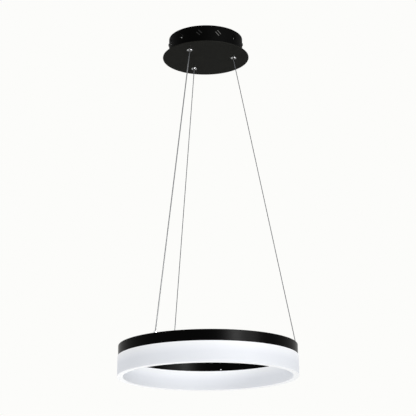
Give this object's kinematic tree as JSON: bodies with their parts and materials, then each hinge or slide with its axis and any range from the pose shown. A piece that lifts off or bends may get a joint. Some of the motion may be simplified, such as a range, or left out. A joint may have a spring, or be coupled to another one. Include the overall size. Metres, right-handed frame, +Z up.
{
  "type": "led pendant light",
  "caption": "Ring pendant light: a slim black hoop with an opal diffuser below it, hung on thin wires from a black ceiling drum with a wider disc.",
  "frame": {"origin": "middle of the mounting bracket's two ceiling slots, on the ceiling plane, on the canopy's axis", "axes": "+Z up into the ceiling along the canopy's and ring's common axis, +X along the mounting bracket to the viewer's right, the viewer on the -Y side"},
  "size_m": [0.4, 0.4, 0.8027],
  "materials": {
    "zinc_steel": "zinc-plated pressed steel",
    "black_paint": "fine matt black powder coat on sheet steel",
    "white_plastic": "moulded white plastic",
    "grey_plastic": "moulded grey plastic",
    "clear_plastic": "moulded natural translucent plastic",
    "tinned_brass": "tinned brass",
    "chrome": "polished chrome plating",
    "sheathed_wire": "clear plastic sheath over a stranded steel wire with its lead",
    "steel_wire": "stranded steel",
    "black_aluminium": "fine matt black powder coat on rolled aluminium",
    "board_aluminium": "white solder mask on an aluminium board",
    "led_phosphor": "yellow phosphor under clear silicone",
    "opal_plastic": "satin opal plastic"
  },
  "bodies": {
    "canopy": {"mounting_bracket": "zinc_steel", "canopy_drum": "black_paint", "canopy_plate": "black_paint", "driver_case": "white_plastic", "driver_cover": "white_plastic", "driver_terminals": "grey_plastic", "driver_clips": "zinc_steel", "mains_terminal": "clear_plastic", "earth_tab": "tinned_brass", "gripper_bodies": "chrome", "gripper_nuts": "zinc_steel", "suspension_wire_power": "sheathed_wire", "suspension_wire_rear": "steel_wire", "suspension_wire_side": "steel_wire"},
    "ring": {"wire_anchors": "chrome", "ring_channel": "black_aluminium", "led_boards": "board_aluminium", "led_chips": "led_phosphor", "feed_connector": "white_plastic", "diffuser": "opal_plastic"},
    "plunger_power": {"gripper_plunger_power": "chrome"},
    "plunger_rear": {"gripper_plunger_rear": "chrome"},
    "plunger_side": {"gripper_plunger_side": "chrome"}
  },
  "joints": [
    {"name": "height_adjust", "type": "slide", "parent": "canopy", "child": "ring", "axis": [0, 0, 1], "range_m": [0, 0.4], "deforming": ["suspension_wire_power", "suspension_wire_rear", "suspension_wire_side"]},
    {"name": "gripper_release_power", "type": "slide", "parent": "canopy", "child": "plunger_power", "axis": [0, 0, 1], "range_m": [0, 0.002], "stiffness_N_per_m": 2000, "springref_m": -0.001},
    {"name": "gripper_release_rear", "type": "slide", "parent": "canopy", "child": "plunger_rear", "axis": [0, 0, 1], "range_m": [0, 0.002], "stiffness_N_per_m": 2000, "springref_m": -0.001},
    {"name": "gripper_release_side", "type": "slide", "parent": "canopy", "child": "plunger_side", "axis": [0, 0, 1], "range_m": [0, 0.002], "stiffness_N_per_m": 2000, "springref_m": -0.001}
  ]
}
